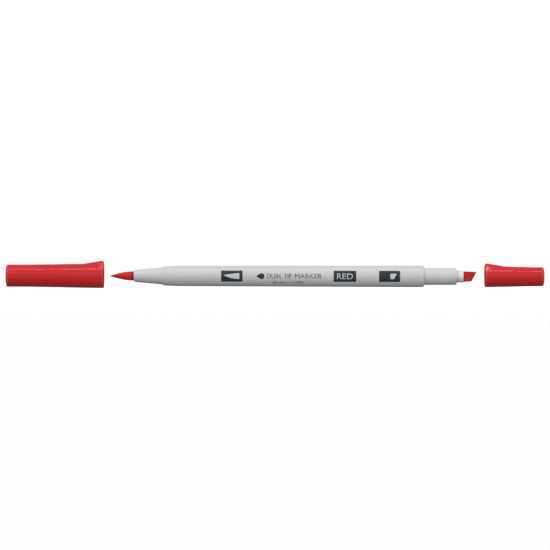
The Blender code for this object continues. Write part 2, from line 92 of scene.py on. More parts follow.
# Nose at the brush end
NOSE_TIP_RADIUS = 2.65 * MM
NOSE_TIP_EDGE = 0.14 * MM
NOSE_SETBACK = 0.15 * MM
CONE_LENGTH = 12.5 * MM
CONE_RADIUS = 3.75 * MM
SHOULDER_LENGTH = 0.75 * MM
SHOULDER_RADIUS = 4.25 * MM
SHOULDER_BLEND = 0.5 * MM
NOSE_LENGTH = 17.98 * MM
RIDGE_COUNT = 4
RIDGE_RADIUS = 4.42 * MM
RIDGE_HEIGHT = 0.09 * MM
RIDGE_WIDTH = 0.40 * MM
RIDGE_PLACE = 0.72
RIDGE_FLANK = 0.12 * MM
HOLDER_SHELF = 7.9 * MM
WEB_END = 12.9 * MM

# Brush nib and its holder
BRUSH_HOLDER_RADIUS = 2.25 * MM
HOLDER_LIP = 0.07 * MM
BRUSH_RADIUS = 2.025 * MM
BRUSH_LENGTH = 10.6 * MM
BRUSH_TIP_RADIUS = 0.03 * MM
BRUSH_TAPER_POWER = 0.95
BRUSH_SHANK_RADIUS = 1.5 * MM
BRUSH_ROOT_EDGE = 0.10 * MM
BRUSH_STEPS = 28
BRUSH_STEP_POWER = 1.5

# Collar at the chisel end
COLLAR_LENGTH = 14.5 * MM
COLLAR_END_LENGTH = 0.8 * MM
COLLAR_END_DEPTH = 0.35 * MM
COLLAR_END_BLEND = 0.4 * MM
COLLAR_END_EDGE = 0.15 * MM
BEAD_START = 1.0 * MM
BEAD_END = 3.1 * MM
BEAD_HEIGHT = 0.125 * MM
BEAD_STEPS = 10
COLLAR_SHELF = 4.4 * MM

# Chisel nib and its holder
CHISEL_HOLDER_RADIUS = 2.6 * MM
CHISEL_HOLDER_RING = 1.45 * MM
CHISEL_SHANK_RADIUS = 1.4 * MM
CHISEL_HEIGHT = 4.6 * MM
CHISEL_THICKNESS = 3.0 * MM
CHISEL_TIP_HEIGHT = 4.2 * MM
CHISEL_TIP_THICKNESS = 2.4 * MM
CHISEL_LENGTH = 5.6 * MM
CHISEL_SHORT_SIDE = 3.5 * MM
CHISEL_EDGE = 0.12 * MM
CHISEL_CORNER_POWER = 9

# Sections of the chisel nib: each one's share of the length, and how far it draws in there
CHISEL_SECTIONS = (
    (0.00, CHISEL_EDGE),
    (0.02, CHISEL_EDGE / 3),
    (0.04, 0.0),
    (0.50, 0.0),
    (0.94, 0.0),
    (1.00, CHISEL_EDGE),
)

# Caps
FACETS = 16
STEPS_PER_FACET = 14
FACET_LAND = 0.28
FACET_FADE = 2.4 * MM
FADE_STEPS = 14
LUG_STEPS = 20
LUG_PEAK = 1.1 * MM
LUG_DROP = 0.35 * MM
MOUTH_EDGE = 0.45 * MM
END_EDGE = 0.50 * MM
END_DOME = 0.30 * MM
END_FLAT_RADIUS = 2.4 * MM
END_DOME_SHARE = 0.6
END_DOME_DROP = 0.4
EDGE_STEPS = 6
END_WALL = 1.0 * MM
BEND_HOLD = 0.25 * MM

BRUSH_CAP = {
    "shell": "brush_cap_shell",
    "liner": "brush_cap_liner",
    "body": "brush_cap",
    "side": -1,
    "mouth_radius": 5.43 * MM,
    "end_radius": 4.96 * MM,
    "straight": 9.8 * MM,
    "plain": 17.4 * MM,
    "lug_length": 9.2 * MM,
    "lug_rise": 1.3 * MM,
    "lug_radius": 3.6 * MM,
    "mouth_bore": 4.67 * MM,
    "inner_bore": 4.57 * MM,
    "step_depth": 15.05 * MM,
    "liner_bore": 4.15 * MM,
    "liner_radius": 4.05 * MM,
    "liner_wall": 0.60 * MM,
}
CHISEL_CAP = {
    "shell": "chisel_cap_shell",
    "liner": "chisel_cap_liner",
    "body": "chisel_cap",
    "side": 1,
    "mouth_radius": 4.675 * MM,
    "end_radius": 4.22 * MM,
    "straight": 3.0 * MM,
    "plain": 10.5 * MM,
    "lug_length": 9.1 * MM,
    "lug_rise": 1.2 * MM,
    "lug_radius": 3.15 * MM,
    "mouth_bore": 3.975 * MM,
    "inner_bore": 3.85 * MM,
    "step_depth": 14.8 * MM,
    "liner_bore": 3.50 * MM,
    "liner_radius": 3.39 * MM,
    "liner_wall": 0.45 * MM,
}

# The layer of ink on the barrel
PRINT_DEPTH = 0.012 * MM
PRINT_PROUD = 0.010 * MM
PRINT_BEND = 0.25 * MM
CAPITAL_SHARE = 0.7
TEXT_CURVE_STEPS = 4

# What is printed, drawn flat in millimetres: along from the barrel's front end, and up from its mid-side.
# Blocks are (left, right, corner), and words are (text, height, left, up, width).
WELD_REACH = 1e-4
CUT_REACH = 1e-5
BLOCK_HALF_HEIGHT = 2.6
BRUSH_BLOCK = (20.5, 30.0, 0.35)
COLOUR_BLOCK = (70.3, 80.3, 0.3)
CHISEL_BLOCK = (90.4, 99.7, 0.35)
BRUSH_MARK_TOP = [(21.5, 0.5), (23.2, 0.75), (25.0, 1.0), (27.0, 1.25), (28.6, 1.3)]
BRUSH_MARK_BOTTOM = [(28.6, -1.3), (26.4, -1.2), (24.6, -0.8), (23.0, -0.2)]
CHISEL_MARK = [(95.4, 1.2), (98.1, 1.2), (97.1, -1.2), (95.4, -1.2)]
DROP_ENDS = (35.8, 39.7)
DROP_HALF_HEIGHT = 1.2
DROP_FULLNESS = 1.3
DROP_STEPS = 28
WORDS = (
    ("DUAL TIP", 2.1, 40.8, 0.05, 11.0),
    ("MARKER", 2.1, 53.2, 0.05, 11.8),
    ("BRUSH + CHISEL", 1.3, 43.4, -3.0, 13.7),
)
COLOUR_NAME = ("RED", 2.6, 71.8, 0.0, 7.0)

# Colours, as linear light
GREY = (0.535, 0.545, 0.550)
GREY_SHADE = (0.515, 0.525, 0.532)
RED = (0.58, 0.020, 0.021)
RED_SHADE = (0.54, 0.018, 0.019)
PALE = (0.60, 0.625, 0.61)
STAIN = (0.86, 0.66, 0.63)
INK = (0.66, 0.030, 0.014)
# Dark ink for the fibre's strands and blotches, and painted shade at the nibs' roots and edges
DARK_INK_AND_SHADE = (0.17, 0.008, 0.010)
SEAL_WHITE = (0.80, 0.79, 0.77)
FILM_WHITE = (0.80, 0.80, 0.80)
DARK_PRINT = (0.030, 0.036, 0.040)
LIGHT_PRINT = (0.52, 0.53, 0.535)
FLOOR_COLOUR = (0.92, 0.92, 0.92)
WHITE = (1.0, 1.0, 1.0)

# Surfaces
BODY_ROUGHNESS = 0.36
BODY_SCUFFS = 0.4
CAP_ROUGHNESS = 0.18
CAP_SCUFFS = 0.2
PLASTIC_IOR = 1.49
FINE_BUMP = 0.003 * MM

# Paler lines near a rim: (how far from it, half width, strength). Those on the caps are painted highlights.
BARREL_LINE = (0.85 * MM, 0.16 * MM, 0.35)
MOUTH_HIGHLIGHT_LINE = (0.75 * MM, 0.16 * MM, 0.22)
END_HIGHLIGHT_LINE = (0.85 * MM, 0.18 * MM, 0.25)

# Painted highlight lines on tops and edges: (half width, strength)
NOSE_HIGHLIGHT_LINE = (0.10 * MM, 0.55)
COLLAR_HIGHLIGHT_LINE = (0.12 * MM, 0.55)
COLLAR_LINE_BACK = 0.2 * MM
BEAD_LINE_BACK = 0.25 * MM

# Half widths of the painted shade at the nibs' roots, where they meet their holders, and of the darker bands
# at their tips, and how far ink creeps onto their holders
BRUSH_ROOT_SHADE = 0.5 * MM
BRUSH_TIP_DARK = 1.2 * MM
CHISEL_ROOT_SHADE = 0.12 * MM
CHISEL_TIP_DARK = 0.25 * MM
BRUSH_CREEP = 1.0 * MM
CHISEL_CREEP = 2.2 * MM

# Camera and light. The sensor's width is in millimetres, as Blender has it
CAMERA_DISTANCE = 2.0
PICTURE_WIDTH = 0.24387
SENSOR_WIDTH = 36.0
CAMERA_ABOVE_AXIS = 0.53 * MM
CAMERA_ROLL = math.radians(0.12)
CAMERA_CLIP = (0.05, 50.0)
FLOOR_HALF = 3.0
FLOOR_SQUARES = 8
FLOOR_LIFT = 0.12
SKY_BLEND = 0.17
SKY_BELOW = (0.24, 0.243, 0.247)
SKY_ABOVE = (0.94, 0.945, 0.955)
MIRROR_BELOW = (0.10, 0.10, 0.09)
MIRROR_ABOVE = (0.17, 0.165, 0.28)
KEY_ELEVATION = math.radians(20)
KEY_DISTANCE = 1.2
KEY_SIZE = (1.0, 0.5)
KEY_POWER = 5.4
STRIP_ELEVATION = math.radians(68)
STRIP_DISTANCE = 0.9
STRIP_SIZE = (1.2, 0.05)
STRIP_POWER = 1.75


def lerp(low, high, share):
    return low + (high - low) * share


def quarter(count):
    """Angles from 0 to 90 degrees, both included."""
    return [math.pi / 2 * i / count for i in range(count + 1)]


def span(node):
    """Where a CAD node starts and ends along the pen."""
    low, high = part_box(node)
    return low.x, high.x


def axis_height():
    """Height of the pen's axis."""
    low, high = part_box("barrel")
    return (low.z + high.z) / 2


AXIS_Z = axis_height()


# ---------------------------------------------------------------- meshes


def finished(name, build):
    """Turns a bmesh into a smooth-shaded object."""
    bmesh.ops.recalc_face_normals(build, faces=build.faces)
    mesh = bpy.data.meshes.new(name)
    build.to_mesh(mesh)
    build.free()
    mesh.shade_smooth()
    mesh.set_sharp_from_angle(angle=SMOOTH_ANGLE)
    obj = bpy.data.objects.new(name, mesh)
    bpy.context.scene.collection.objects.link(obj)
    normals = obj.modifiers.new("flat faces keep flat shading", "WEIGHTED_NORMAL")
    normals.keep_sharp = True
    return obj


def skinned(name, rings, loop=False):
    """A closed skin through rings of matching points. A ring of one point is a pole."""
    build = bmesh.new()
    loops = [[build.verts.new(point) for point in ring] for ring in rings]
    pairs = list(zip(loops, loops[1:]))
    if loop:
        pairs.append((loops[-1], loops[0]))
    for lower, upper in pairs:
        count = max(len(lower), len(upper))
        for i in range(count):
            j = (i + 1) % count
            below = (lower[i % len(lower)], lower[j % len(lower)])
            above = (upper[j % len(upper)], upper[i % len(upper)])
            build.faces.new(dict.fromkeys(below + above))
    return finished(name, build)


def circle(along, radius, steps=TURN_STEPS):
    """A ring about the pen's axis that starts at its top. With no radius it is a pole."""
    if radius == 0:
        return [(along, 0.0, AXIS_Z)]
    angles = [2 * math.pi * i / steps for i in range(steps)]
    return [(along, radius * math.sin(a), AXIS_Z + radius * math.cos(a)) for a in angles]


def filleted(outline, closed):
    """Points of an outline of (along, radius, fillet) corners. A corner with a fillet becomes an arc."""
    points = []
    for i, (along, radius, fillet) in enumerate(outline):
        here = Vector((along, radius))
        if not fillet or (not closed and i in (0, len(outline) - 1)):
            points.append(tuple(here))
            continue
        back = (Vector(outline[i - 1][:2]) - here).normalized()
        ahead = (Vector(outline[(i + 1) % len(outline)][:2]) - here).normalized()
        half = back.angle(ahead) / 2
        centre = here + (back + ahead).normalized() * fillet / math.sin(half)
        start = here + back * fillet / math.tan(half) - centre
        end = here + ahead * fillet / math.tan(half) - centre
        turns = [start.slerp(end, k / FILLET_STEPS).normalized() for k in range(FILLET_STEPS + 1)]
        points += [tuple(centre + turn * fillet) for turn in turns]
    return points


def turned(name, outline, closed=True):
    """A turned piece. A closed outline goes round a hollow, and an open one starts and ends on the axis."""
    rings = [circle(along, radius) for along, radius in filleted(outline, closed)]
    return skinned(name, rings, loop=closed)


def placed(obj, body, slot, material, *nodes):
    """Gives a piece its finish, the body it moves with and the CAD nodes it stands for."""
    obj.data.materials.append(material)
    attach(obj, body)
    if nodes:
        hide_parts(*nodes)
    return obj


# ---------------------------------------------------------------- materials


class Recipe:
    """A node material while it is put together. Its textures follow the object's own coordinates."""

    def __init__(self, name):
        self.material = bpy.data.materials.new(name)
        self.material.use_nodes = True
        self.tree = self.material.node_tree
        self.shader = self.tree.nodes["Principled BSDF"]
        self.place = self.tree.nodes.new("ShaderNodeTexCoord").outputs["Object"]

    def node(self, kind, inputs=None, **settings):
        made = self.tree.nodes.new("ShaderNode" + kind)
        for key, value in settings.items():
            setattr(made, key, value)
        for key, value in (inputs or {}).items():
            self.feed(made.inputs[key], value)
        return made

    def feed(self, socket, value):
        if isinstance(value, bpy.types.NodeSocket):
            self.tree.links.new(value, socket)
        elif isinstance(value, tuple) and len(value) == 3 and socket.type == "RGBA":
            socket.default_value = (*value, 1.0)
        else:
            socket.default_value = value

    def set(self, **values):
        for key, value in values.items():
            self.feed(self.shader.inputs[key.replace("_", " ")], value)

    def noise(self, scale, detail=2.0, stretch=(1.0, 1.0, 1.0), roughness=0.5):
        """Noise with a scale in cells a metre, drawn out along an axis whose stretch is below 1."""
        placed_at = self.node("Mapping", {"Vector": self.place, "Scale": stretch}).outputs[0]
        inputs = {"Vector": placed_at, "Scale": scale, "Detail": detail, "Roughness": roughness}
        return self.node("TexNoise", inputs).outputs["Fac"]

    def ramp(self, value, low, high, start=0.0, end=1.0):
        """Maps low..high of a value to start..end, smoothly, and holds it there outside."""
        inputs = {"Value": value, "From Min": low, "From Max": high, "To Min": start, "To Max": end}
        return self.node("MapRange", inputs, interpolation_type="SMOOTHSTEP").outputs["Result"]

    def maths(self, operation, first, second=0.0):
        made = self.node("Math", operation=operation)
        self.feed(made.inputs[0], first)
        self.feed(made.inputs[1], second)
        return made.outputs[0]

    def mix(self, share, first, second):
        made = self.node("Mix", data_type="RGBA")
        self.feed(made.inputs["Factor"], share)
        self.feed(made.inputs[6], first)
        self.feed(made.inputs[7], second)
        return made.outputs[2]

    def along(self):
        """Distance along the pen, in metres."""
        return self.node("SeparateXYZ", {"Vector": self.place}).outputs["X"]

    def band(self, centre, half_width, fade):
        """1 in a band across the pen, and 0 away from it."""
        away = self.maths("ABSOLUTE", self.maths("SUBTRACT", self.along(), centre))
        return self.ramp(away, half_width, half_width + fade, 1.0, 0.0)

    def bump(self, height, distance, strength=1.0, under=None):
        inputs = {"Height": height, "Distance": distance, "Strength": strength}
        if under is not None:
            inputs["Normal"] = under
        return self.node("Bump", inputs).outputs["Normal"]


def moulded_plastic(name, colour, shade, roughness, scuffs=0.5, edges=()):
    """Moulded plastic: slow colour drift, a fine grain, lengthwise rub marks, and paler lines across the pen.

    Each edge is a paler line: its place along the pen, its half width and its strength. Those on the caps,
    nose and collar are painted highlights."""
    recipe = Recipe(name)
    drift = recipe.noise(90.0, detail=3.0, stretch=(0.5, 1.0, 1.0))
    base = recipe.mix(recipe.ramp(drift, 0.3, 0.7), shade, colour)
    rubs = recipe.noise(1400.0, detail=4.0, stretch=(0.03, 1.0, 1.0), roughness=0.6)
    rubbed = recipe.ramp(rubs, 0.60, 0.78, 0.0, scuffs)
    specks = recipe.ramp(recipe.noise(2600.0, detail=1.0), 0.80, 0.86, 0.0, 0.35)
    paler = tuple(lerp(c, 0.85, 0.25) for c in colour)
    base = recipe.mix(recipe.maths("MULTIPLY", rubbed, 0.35), base, paler)
    base = recipe.mix(specks, base, tuple(c * 0.55 for c in colour))
    # Paler lines across the pen; on the caps, nose and collar they are painted highlights
    for place, width, strength in edges:
        patchy = recipe.ramp(recipe.noise(700.0, detail=3.0), 0.25, 0.75, 0.5, 1.0)
        rim = recipe.maths("MULTIPLY", recipe.band(place, width, width), patchy)
        base = recipe.mix(recipe.maths("MULTIPLY", rim, strength), base, paler)
    grain = recipe.noise(5200.0)
    worn_smooth = recipe.noise(900.0, detail=4.0)
    rough = recipe.ramp(worn_smooth, 0.25, 0.75, roughness - 0.02, roughness + 0.03)
    rough = recipe.maths("ADD", rough, recipe.maths("MULTIPLY", rubbed, 0.12))
    fine = recipe.bump(grain, FINE_BUMP, 0.5)
    recipe.set(Base_Color=base, Roughness=rough, Normal=recipe.bump(rubs, 0.001 * MM, 0.3, fine))
    recipe.set(IOR=PLASTIC_IOR)
    return recipe.material


def inked_fibre(name, colour, dark, root, root_width, tip, tip_width, lean=0.0, rim=1.0):
    """Porous fibre soaked with ink: lengthwise strands, painted shade at the root where the nib meets its
    holder, and darker at the tip.

    The tip's face leans by so much along for each unit up. Beyond the rim, up or down, it is darker too, as
    painted shade along the edges."""
    recipe = Recipe(name)
    strands = recipe.noise(5200.0, detail=3.0, stretch=(0.05, 1.0, 1.0), roughness=0.65)
    pores = recipe.noise(9000.0)
    blotches = recipe.noise(650.0, detail=3.0)
    base = recipe.mix(recipe.ramp(strands, 0.35, 0.70, 0.0, 0.55), colour, dark)
    base = recipe.mix(recipe.ramp(blotches, 0.35, 0.75, 0.0, 0.30), base, dark)
    parts = recipe.node("SeparateXYZ", {"Vector": recipe.place}).outputs
    up = recipe.maths("SUBTRACT", parts["Z"], AXIS_Z)
    leaning = recipe.maths("SUBTRACT", parts["X"], recipe.maths("MULTIPLY", up, lean))
    # The root band is painted shade where the nib meets its holder, and the tip band is darker fibre at the
    # tip
    dark_bands = ((parts["X"], root, root_width, 0.85), (leaning, tip, tip_width, 0.80))
    for along, place, width, strength in dark_bands:
        away = recipe.maths("ABSOLUTE", recipe.maths("SUBTRACT", along, place))
        base = recipe.mix(recipe.ramp(away, width, 2 * width, strength, 0.0), base, dark)
    # Painted shade along the edges beyond the rim, up and down
    edge = recipe.ramp(recipe.maths("ABSOLUTE", up), rim, rim + RIM_FADE, 0.0, 0.65)
    base = recipe.mix(edge, base, dark)
    relief = recipe.bump(strands, 0.03 * MM, 0.8, recipe.bump(pores, 0.012 * MM, 0.6))
    recipe.set(Base_Color=base, Roughness=recipe.ramp(pores, 0.3, 0.7, 0.55, 0.85), Normal=relief)
    recipe.set(Specular_IOR_Level=0.2)
    return recipe.material


def stained_plastic(name, colour, stain, front, reach):
    """Pale plastic that ink has crept onto from its front end."""
    recipe = Recipe(name)
    creep = recipe.noise(900.0, detail=4.0)
    away = recipe.maths("ABSOLUTE", recipe.maths("SUBTRACT", recipe.along(), front))
    wander = recipe.maths("MULTIPLY", recipe.maths("SUBTRACT", creep, 0.5), 0.6 * reach)
    ragged = recipe.maths("ADD", away, wander)
    share = recipe.ramp(ragged, 0.5 * reach, reach, 0.75, 0.0)
    base = recipe.mix(recipe.ramp(recipe.noise(120.0), 0.3, 0.7), tuple(c * 0.94 for c in colour), colour)
    base = recipe.mix(share, base, stain)
    recipe.set(Base_Color=base, Roughness=recipe.ramp(creep, 0.2, 0.8, 0.36, 0.5), IOR=PLASTIC_IOR)
    recipe.set(Normal=recipe.bump(recipe.noise(6000.0), FINE_BUMP, 0.5))
    recipe.set(Subsurface_Weight=0.15, Subsurface_Scale=0.001)
    return recipe.material


def soft_plastic(name, colour):
    """Waxy white plastic of the caps' inner cups."""
    recipe = Recipe(name)
    drift = recipe.noise(160.0, detail=3.0)
    base = recipe.mix(recipe.ramp(drift, 0.3, 0.7), tuple(c * 0.93 for c in colour), colour)
    recipe.set(Base_Color=base, Roughness=recipe.ramp(recipe.noise(800.0), 0.2, 0.8, 0.4, 0.55), IOR=1.5)
    recipe.set(Normal=recipe.bump(recipe.noise(4200.0), FINE_BUMP, 0.5))
    recipe.set(Subsurface_Weight=0.2, Subsurface_Scale=0.001)
    return recipe.material


def printed_ink(name, colour):
    """Pad-printed ink: nearly opaque, with a faint screen grain and pinholes."""
    recipe = Recipe(name)
    grain = recipe.noise(7000.0)
    pale = tuple(c * 1.7 for c in colour)
    base = recipe.mix(recipe.ramp(grain, 0.55, 0.85, 0.0, 0.5), colour, pale)
    recipe.set(Base_Color=base, Roughness=recipe.ramp(grain, 0.3, 0.7, 0.36, 0.5), IOR=1.45)
    recipe.set(Normal=recipe.bump(grain, 0.002 * MM, 0.4))
    return recipe.material


def wrap_film(name, colour):
    """Thin milky film with faint lengthwise creases."""
    recipe = Recipe(name)
    creases = recipe.noise(700.0, detail=3.0, stretch=(0.08, 1.0, 1.0))
    base = recipe.mix(recipe.ramp(creases, 0.3, 0.7), tuple(c * 0.9 for c in colour), colour)
    recipe.set(Base_Color=base, Roughness=recipe.ramp(creases, 0.2, 0.8, 0.2, 0.4))
    recipe.set(Normal=recipe.bump(creases, 0.02 * MM, 0.6))
    return recipe.material


# ---------------------------------------------------------------- pieces on the pen


def barrel_radius(share):
    return lerp(BARREL_FRONT_RADIUS, BARREL_REAR_RADIUS, share)


def groove(along, radius):
    """A shallow ring cut at a place on an outline."""
    half = GROOVE_WIDTH / 2
    floor = radius - GROOVE_DEPTH
    lip = FINE_EDGE / 2
    return [(along - half, radius, lip), (along, floor, FINE_EDGE), (along + half, radius, lip)]


def make_barrel(material):
    start, end = span("barrel")
    rear_radius = barrel_radius(1.0)
    round_start = end - REAR_ROUND_LENGTH
    rear_round = [
        (
            round_start + (REAR_ROUND_LENGTH - FINE_EDGE) * math.sin(angle),
            rear_radius - REAR_ROUND_DEPTH * (1 - math.cos(angle)),
            0,
        )
        for angle in quarter(REAR_ROUND_STEPS)
    ]
    outline = [(start, SOCKET_RADIUS, FINE_EDGE), (start, BARREL_FRONT_RADIUS, BARREL_EDGE)]
    outline += groove(end - REAR_RING_PLACE, rear_radius)
    outline += rear_round
    outline += [
        (end, rear_radius - REAR_ROUND_DEPTH - FINE_EDGE, 0),
        (end, SOCKET_RADIUS, FINE_EDGE),
        (end - REAR_SOCKET_DEPTH, SOCKET_RADIUS, 0),
        (end - REAR_SOCKET_DEPTH, RESERVOIR_BORE, 0),
        (start + FRONT_SOCKET_DEPTH, RESERVOIR_BORE, 0),
        (start + FRONT_SOCKET_DEPTH, SOCKET_RADIUS, 0),
    ]
    return placed(turned("barrel_shell", outline), "pen", "body_plastic", material, "barrel")


def ridges(start):
    """The outline of the nose's ridged band, from its front to its back."""
    corners = []
    for i, middle in enumerate(ridge_places(start)):
        low = lerp(SHOULDER_RADIUS, RIDGE_RADIUS - RIDGE_HEIGHT, (i + 0.5) / RIDGE_COUNT)
        half = RIDGE_WIDTH / 2
        corners += [
            (middle - half - RIDGE_FLANK, low, FINE_EDGE),
            (middle - half, low + RIDGE_HEIGHT, FINE_EDGE),
            (middle + half, low + RIDGE_HEIGHT, FINE_EDGE),
            (middle + half + RIDGE_FLANK, low, FINE_EDGE),
        ]
    return corners


def ridge_places(start):
    """Where the tops of the nose's ridges are, for a band that starts at a place."""
    pitch = (NOSE_LENGTH - CONE_LENGTH - SHOULDER_LENGTH) / RIDGE_COUNT
    return [start + pitch * (i + RIDGE_PLACE) for i in range(RIDGE_COUNT)]


def nose_lines(start):
    """Painted highlight lines on the nose: on its shoulder, on the tops of its ridges and at its back edge.
    """
    band = start + CONE_LENGTH + SHOULDER_LENGTH
    places = [band - SHOULDER_LENGTH / 2, *ridge_places(band), start + NOSE_LENGTH]
    return [(place, *NOSE_HIGHLIGHT_LINE) for place in places]


def make_brush_nose(material):
    start, end = span("brush_nose")
    back = start + NOSE_LENGTH
    cone_end = start + CONE_LENGTH
    front = start + NOSE_SETBACK
    outline = [
        (front, BRUSH_HOLDER_RADIUS + PRESS_GAP, FINE_EDGE / 2),
        (front, NOSE_TIP_RADIUS, NOSE_TIP_EDGE),
        (cone_end, CONE_RADIUS, SHOULDER_BLEND),
        (cone_end + SHOULDER_LENGTH, SHOULDER_RADIUS, SHOULDER_BLEND),
        *ridges(cone_end + SHOULDER_LENGTH),
        (back, RIDGE_RADIUS - RIDGE_HEIGHT, FINE_EDGE),
        (back, PLUG_RADIUS, 0),
        (end - PLUG_CHAMFER, PLUG_RADIUS, 0),
        (end, PLUG_RADIUS - PLUG_CHAMFER, 0),
        (end, HOLLOW_RADIUS, 0),
        (start + WEB_END, HOLLOW_RADIUS, 0),
        (start + WEB_END, BRUSH_SHANK_RADIUS + PRESS_GAP, 0),
        (start + HOLDER_SHELF, BRUSH_SHANK_RADIUS + PRESS_GAP, 0),
        (start + HOLDER_SHELF, BRUSH_HOLDER_RADIUS + PRESS_GAP, 0),
    ]
    return placed(turned("brush_nose_cone", outline), "pen", "body_plastic", material, "brush_nose")


def make_brush_holder(material):
    start, end = span("brush_nib_holder")
    bore = BRUSH_SHANK_RADIUS + PRESS_GAP
    outline = [
        (start - HOLDER_LIP, bore, FINE_EDGE),
        (start - HOLDER_LIP, BRUSH_HOLDER_RADIUS, 2 * FINE_EDGE),
        (end, BRUSH_HOLDER_RADIUS, FINE_EDGE),
        (end, bore, FINE_EDGE),
    ]
    return placed(turned("brush_nib_ring", outline), "pen", "holder_plastic", material, "brush_nib_holder")


def brush_radius(share):
    """The brush nib's radius at a share of its exposed length from the tip."""
    return BRUSH_RADIUS * math.sin(math.pi / 2 * share**BRUSH_TAPER_POWER)


def make_brush_nib(material):
    tip, end = span("brush_nib")
    root = tip + BRUSH_LENGTH
    outline = [(tip, 0.0, 0), (tip + BRUSH_TIP_RADIUS / 2, BRUSH_TIP_RADIUS, 0)]
    for i in range(2, BRUSH_STEPS):
        share = (i / BRUSH_STEPS) ** BRUSH_STEP_POWER
        outline.append((tip + BRUSH_LENGTH * share, brush_radius(share), 0))
    outline += [
        (root, BRUSH_RADIUS, BRUSH_ROOT_EDGE),
        (root, BRUSH_SHANK_RADIUS, 0),
        (end, BRUSH_SHANK_RADIUS, FINE_EDGE),
        (end, 0.0, 0),
    ]
    return placed(turned("brush_nib_fibre", outline, False), "pen", "nib_fibre", material, "brush_nib")


def make_chisel_collar(material):
    start, end = span("chisel_collar")
    front = end - COLLAR_LENGTH
    bead = []
    for i in range(BEAD_STEPS + 1):
        share = i / BEAD_STEPS
        rise = BEAD_HEIGHT * math.sin(math.pi * share) ** 2
        bead.append((front + lerp(BEAD_START, BEAD_END, share), PLUG_RADIUS + rise, 0))
    outline = [
        (start, HOLLOW_RADIUS, 0),
        (start, PLUG_RADIUS - PLUG_CHAMFER, 0),
        (start + PLUG_CHAMFER, PLUG_RADIUS, 0),
        *groove(front + BEAD_START / 2, PLUG_RADIUS),
        *bead,
        *groove(front + BEAD_END + GROOVE_WIDTH, PLUG_RADIUS),
        (end - COLLAR_END_LENGTH, PLUG_RADIUS, COLLAR_END_BLEND),
        (end, PLUG_RADIUS - COLLAR_END_DEPTH, COLLAR_END_EDGE),
        (end, CHISEL_HOLDER_RADIUS + PRESS_GAP, FINE_EDGE),
        (front + COLLAR_SHELF, CHISEL_HOLDER_RADIUS + PRESS_GAP, 0),
        (front + COLLAR_SHELF, CHISEL_SHANK_RADIUS + PRESS_GAP, 0),
        (front, CHISEL_SHANK_RADIUS + PRESS_GAP, 0),
        (front, HOLLOW_RADIUS, 0),
    ]
    return placed(turned("chisel_end_collar", outline), "pen", "body_plastic", material, "chisel_collar")


def collar_lines(front):
    """Painted highlight lines on the collar: in front of its bead, on its top and behind it."""
    middle = (BEAD_START + BEAD_END) / 2
    places = (BEAD_START - COLLAR_LINE_BACK, middle - BEAD_LINE_BACK, BEAD_END)
    return [(front + place, *COLLAR_HIGHLIGHT_LINE) for place in places]


def make_chisel_holder(material):
    start, end = span("chisel_nib_holder")
    bore = CHISEL_SHANK_RADIUS + PRESS_GAP
    outline = [
        (start, bore, 0),
        (start, CHISEL_HOLDER_RADIUS, FINE_EDGE),
        *groove(end - CHISEL_HOLDER_RING, CHISEL_HOLDER_RADIUS),
        (end, CHISEL_HOLDER_RADIUS, 3 * FINE_EDGE),
        (end, bore, FINE_EDGE),
    ]
    return placed(turned("chisel_nib_ring", outline), "pen", "holder_plastic", material, "chisel_nib_holder")


def chisel_ring(length_top, length_bottom, height, thickness):
    """A rounded rectangle across the pen. Its top edge reaches further than its bottom edge."""
    ring = []
    for i in range(TURN_STEPS):
        angle = 2 * math.pi * i / TURN_STEPS
        upright = abs(math.cos(angle) / (height / 2)) ** CHISEL_CORNER_POWER
        aside = abs(math.sin(angle) / (thickness / 2)) ** CHISEL_CORNER_POWER
        radius = (upright + aside) ** (-1 / CHISEL_CORNER_POWER)
        up = radius * math.cos(angle)
        along = lerp(length_bottom, length_top, 0.5 + up / height)
        ring.append((along, radius * math.sin(angle), AXIS_Z + up))
    return ring


def make_chisel_nib(material):
    start, tip = span("chisel_nib")
    root = tip - CHISEL_LENGTH
    short = root + CHISEL_SHORT_SIDE
    top, bottom = CHISEL_TIP_HEIGHT / CHISEL_HEIGHT, CHISEL_TIP_THICKNESS / CHISEL_THICKNESS
    rings = [circle(start, 0.0), circle(start, CHISEL_SHANK_RADIUS), circle(root, CHISEL_SHANK_RADIUS)]
    for share, inset in CHISEL_SECTIONS:
        height = CHISEL_HEIGHT * lerp(1.0, top, share) - 2 * inset
        thickness = CHISEL_THICKNESS * lerp(1.0, bottom, share) - 2 * inset
        rings.append(chisel_ring(lerp(root, tip, share), lerp(root, short, share), height, thickness))
    rings.append([(lerp(tip, short, 0.5), 0.0, AXIS_Z)])
    return placed(skinned("chisel_nib_fibre", rings), "pen", "nib_fibre", material, "chisel_nib")


# ---------------------------------------------------------------- caps


def cap_angles():
    """Angles round a cap from its top, evenly spaced, so that facets fall between the same ones."""
    count = FACETS * STEPS_PER_FACET
    return [2 * math.pi * i / count for i in range(count)]


def cap_radius(cap, length, depth):
    """A cap's radius without its lug: a taper from the mouth, then straight to the closed end."""
    return lerp(cap["mouth_radius"], cap["end_radius"], min(1.0, depth / (length - cap["straight"])))


def lug_rise(cap, depth):
    """How far the lug stands out: a small drop at the mouth, then a ramp that eases into the cap."""
    if depth < LUG_PEAK:
        return cap["lug_rise"] - LUG_DROP * (1 - depth / LUG_PEAK) ** 2
    ramp = max(0.0, (cap["lug_length"] - depth) / (cap["lug_length"] - LUG_PEAK))
    return cap["lug_rise"] * ramp


